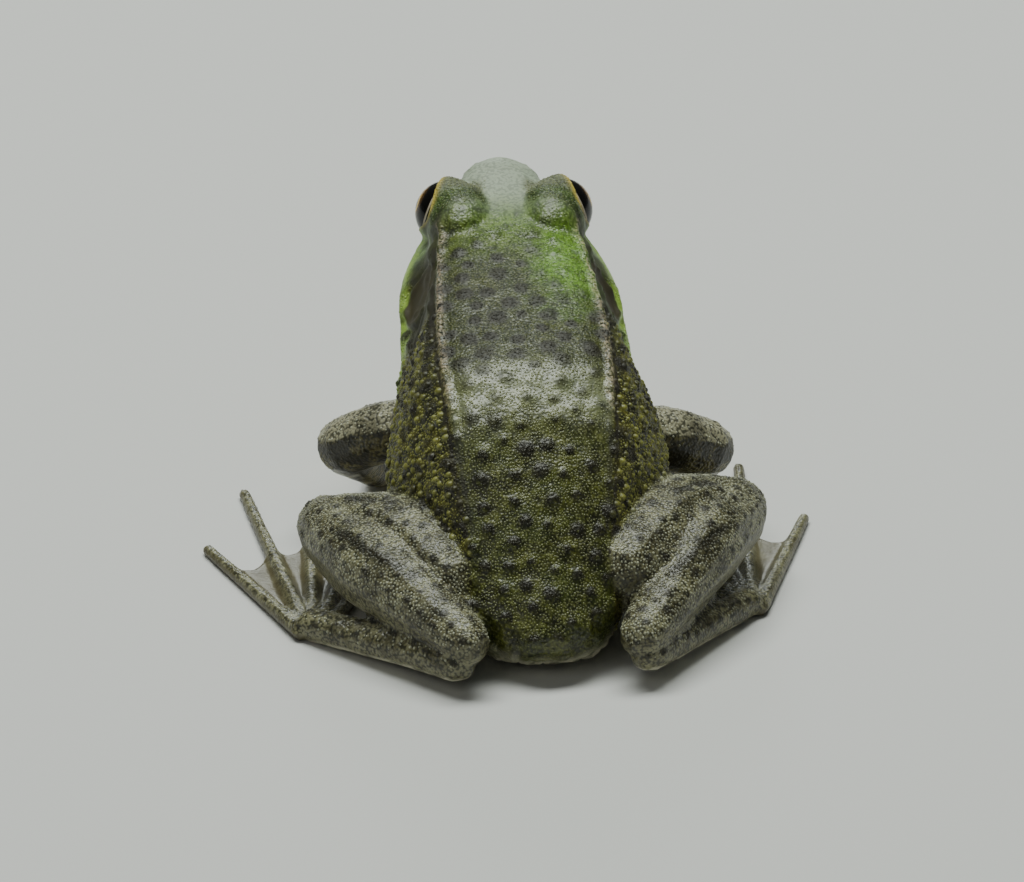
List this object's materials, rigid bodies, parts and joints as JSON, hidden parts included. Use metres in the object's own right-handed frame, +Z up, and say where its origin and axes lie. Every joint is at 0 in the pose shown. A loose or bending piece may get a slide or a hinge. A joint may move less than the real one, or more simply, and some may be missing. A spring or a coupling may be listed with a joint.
{
  "type": "green frog",
  "caption": "Life-size still model of an adult male green frog, sitting with its legs folded, webbed hind feet flat and head raised.",
  "frame": {"origin": "on the ground, below the middle of the bounding box", "axes": "-Y is the way the frog faces, +X its left side, +Z up"},
  "size_m": [0.0814, 0.0798, 0.0427],
  "materials": {
    "back_skin": "wet, granular olive skin, greener on the head",
    "limb_skin": "damp grey-brown skin with dark bars",
    "throat_skin": "smooth moist skin, yellow at the throat",
    "eardrum": "thin satin membrane",
    "eye": "wet and glossy, gold iris and dark pupil"
  },
  "bodies": {
    "root": {"head": "back_skin", "lower_jaw": "throat_skin", "trunk": "back_skin", "eye_L": "eye", "eye_R": "eye", "eardrum_L": "eardrum", "eardrum_R": "eardrum", "upper_arm_L": "limb_skin", "upper_arm_R": "limb_skin", "forearm_L": "limb_skin", "forearm_R": "limb_skin", "hand_L": "limb_skin", "hand_R": "limb_skin", "thigh_L": "limb_skin", "thigh_R": "limb_skin", "shank_L": "limb_skin", "shank_R": "limb_skin", "tarsus_L": "limb_skin", "tarsus_R": "limb_skin", "foot_L": "limb_skin", "foot_R": "limb_skin"}
  },
  "joints": []
}
